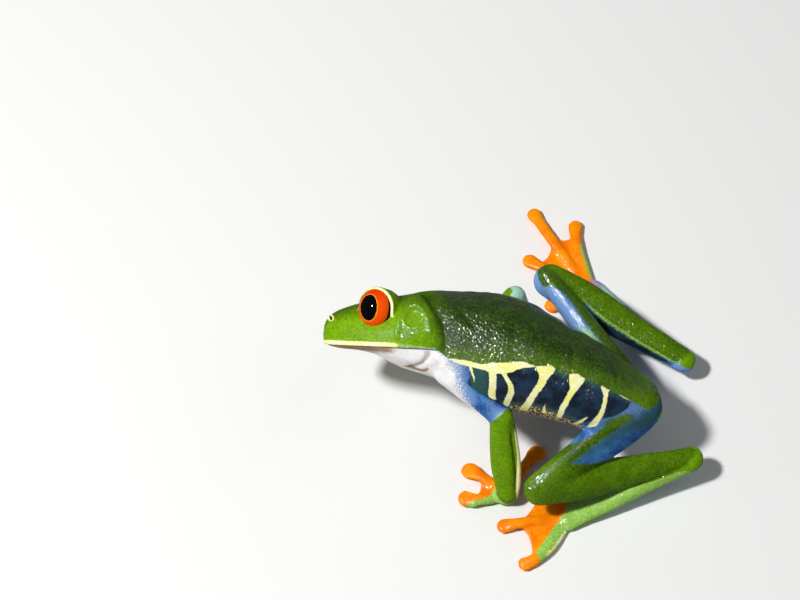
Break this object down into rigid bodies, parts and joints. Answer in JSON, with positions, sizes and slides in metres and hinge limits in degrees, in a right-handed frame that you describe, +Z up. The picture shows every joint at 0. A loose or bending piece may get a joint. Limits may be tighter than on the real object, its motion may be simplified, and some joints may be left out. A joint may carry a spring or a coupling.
{
  "type": "red-eyed tree frog model",
  "caption": "Still, life-size model of a red-eyed tree frog standing on bent limbs with spread, padded toes and its body leaning to one side.",
  "frame": {"origin": "under the middle of the whole frog, at the level of the floor that the pads rest on", "axes": "+Z up; the head points to -X; the frog's left side faces -Y and is turned up, and its right side faces +Y"},
  "size_m": [0.0612, 0.0678, 0.0273],
  "materials": {
    "leaf_green": "moist, glossy skin",
    "throat_white": "moist, satin skin",
    "toe_orange": "moist, glossy skin",
    "iris_red": "wet, high gloss"
  },
  "bodies": {
    "root": {"head": "leaf_green", "lower_jaw": "throat_white", "torso": "leaf_green", "eye_left": "iris_red", "eye_right": "iris_red", "upper_arm_left": "leaf_green", "forearm_left": "leaf_green", "hand_left": "toe_orange", "thigh_left": "leaf_green", "shank_left": "leaf_green", "tarsus_left": "leaf_green", "foot_left": "toe_orange", "finger_left_1": "toe_orange", "finger_left_2": "toe_orange", "finger_left_3": "toe_orange", "finger_left_4": "toe_orange", "toe_left_1": "toe_orange", "toe_left_2": "toe_orange", "toe_left_3": "toe_orange", "toe_left_4": "toe_orange", "toe_left_5": "toe_orange", "upper_arm_right": "leaf_green", "forearm_right": "leaf_green", "hand_right": "toe_orange", "thigh_right": "leaf_green", "shank_right": "leaf_green", "tarsus_right": "leaf_green", "foot_right": "toe_orange", "finger_right_1": "toe_orange", "finger_right_2": "toe_orange", "finger_right_3": "toe_orange", "finger_right_4": "toe_orange", "toe_right_1": "toe_orange", "toe_right_2": "toe_orange", "toe_right_3": "toe_orange", "toe_right_4": "toe_orange", "toe_right_5": "toe_orange"}
  },
  "joints": []
}
